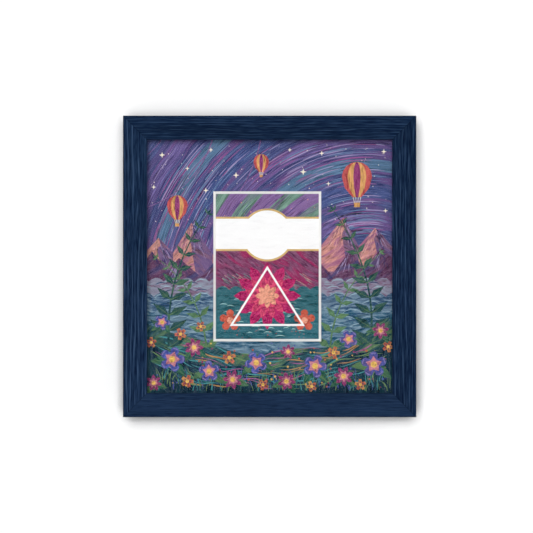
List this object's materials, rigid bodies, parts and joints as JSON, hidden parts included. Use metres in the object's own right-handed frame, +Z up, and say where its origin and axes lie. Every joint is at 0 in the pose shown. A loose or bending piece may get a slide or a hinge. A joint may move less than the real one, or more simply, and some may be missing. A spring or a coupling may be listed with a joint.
{
  "type": "trading card frame",
  "caption": "Small square-looking wall frame in dark blue wood with a printed backdrop board and a bevelled window over a trading card.",
  "frame": {"origin": "middle of the bottom edge, half way through the depth from the rails' front to the bumpers' back", "axes": "+Z up the picture, +Y from the picture's face to the wall, +X to the viewer's right"},
  "size_m": [0.1722, 0.0222, 0.177],
  "materials": {
    "board_core": "uncoated, white core",
    "backing": "plain fibreboard",
    "navy_wood": "stained, satin",
    "steel": "zinc plated",
    "card_stock": "smooth",
    "card_arcs_print_ink": "printed, matt",
    "card_blossoms_print_ink": "printed, matt",
    "card_gold_print_ink": "printed, matt",
    "card_hearts_print_ink": "printed, matt",
    "card_label_print_ink": "printed, matt",
    "locator_board": "uncoated",
    "card_near_water_print_ink": "printed, matt",
    "card_peaks_print_ink": "printed, matt",
    "card_rosette_inner_print_ink": "printed, matt",
    "card_rosette_print_ink": "printed, matt",
    "card_sky_print_ink": "printed, matt",
    "card_triangle_print_ink": "printed, matt",
    "card_water_print_ink": "printed, matt",
    "clear_glass": "clear, polished",
    "bumper_rubber": "matt",
    "print_balloon_gores_ink": "printed, matt",
    "print_balloon_stripes_ink": "printed, matt",
    "print_balloons_ink": "printed, matt",
    "print_blossom_hearts_ink": "printed, matt",
    "print_blossom_throats_ink": "printed, matt",
    "print_blue_arcs_ink": "printed, matt",
    "print_far_meadow_ink": "printed, matt",
    "print_far_peaks_ink": "printed, matt",
    "print_far_water_ink": "printed, matt",
    "print_leaves_ink": "printed, matt",
    "print_lilac_arcs_ink": "printed, matt",
    "print_lit_slopes_ink": "printed, matt",
    "print_middle_water_ink": "printed, matt",
    "print_near_meadow_ink": "printed, matt",
    "print_near_peaks_ink": "printed, matt",
    "print_near_water_ink": "printed, matt",
    "print_pointed_blossoms_ink": "printed, matt",
    "print_rose_arcs_ink": "printed, matt",
    "print_round_blossoms_ink": "printed, matt",
    "print_short_ferns_ink": "printed, matt",
    "print_sky_ink": "printed, matt",
    "print_small_blossoms_ink": "printed, matt",
    "print_stars_ink": "printed, matt",
    "print_tall_ferns_ink": "printed, matt",
    "print_teal_arcs_ink": "printed, matt"
  },
  "bodies": {
    "root": {"backdrop_board": "board_core", "backing_board": "backing", "bottom_rail": "navy_wood", "bottom_retaining_points": "steel", "card": "card_stock", "card_arcs_print": "card_arcs_print_ink", "card_blossoms_print": "card_blossoms_print_ink", "card_gold_print": "card_gold_print_ink", "card_hearts_print": "card_hearts_print_ink", "card_label_print": "card_label_print_ink", "card_locator": "locator_board", "card_near_water_print": "card_near_water_print_ink", "card_peaks_print": "card_peaks_print_ink", "card_rosette_inner_print": "card_rosette_inner_print_ink", "card_rosette_print": "card_rosette_print_ink", "card_sky_print": "card_sky_print_ink", "card_triangle_print": "card_triangle_print_ink", "card_water_print": "card_water_print_ink", "clear_pane": "clear_glass", "corner_v_nails": "steel", "hanger_nails": "steel", "left_bumper": "bumper_rubber", "left_rail": "navy_wood", "left_retaining_points": "steel", "print_balloon_gores": "print_balloon_gores_ink", "print_balloon_stripes": "print_balloon_stripes_ink", "print_balloons": "print_balloons_ink", "print_blossom_hearts": "print_blossom_hearts_ink", "print_blossom_throats": "print_blossom_throats_ink", "print_blue_arcs": "print_blue_arcs_ink", "print_far_meadow": "print_far_meadow_ink", "print_far_peaks": "print_far_peaks_ink", "print_far_water": "print_far_water_ink", "print_leaves": "print_leaves_ink", "print_lilac_arcs": "print_lilac_arcs_ink", "print_lit_slopes": "print_lit_slopes_ink", "print_middle_water": "print_middle_water_ink", "print_near_meadow": "print_near_meadow_ink", "print_near_peaks": "print_near_peaks_ink", "print_near_water": "print_near_water_ink", "print_pointed_blossoms": "print_pointed_blossoms_ink", "print_rose_arcs": "print_rose_arcs_ink", "print_round_blossoms": "print_round_blossoms_ink", "print_short_ferns": "print_short_ferns_ink", "print_sky": "print_sky_ink", "print_small_blossoms": "print_small_blossoms_ink", "print_stars": "print_stars_ink", "print_tall_ferns": "print_tall_ferns_ink", "print_teal_arcs": "print_teal_arcs_ink", "right_bumper": "bumper_rubber", "right_rail": "navy_wood", "right_retaining_points": "steel", "sawtooth_hanger": "steel", "top_rail": "navy_wood", "top_retaining_points": "steel"}
  },
  "joints": []
}
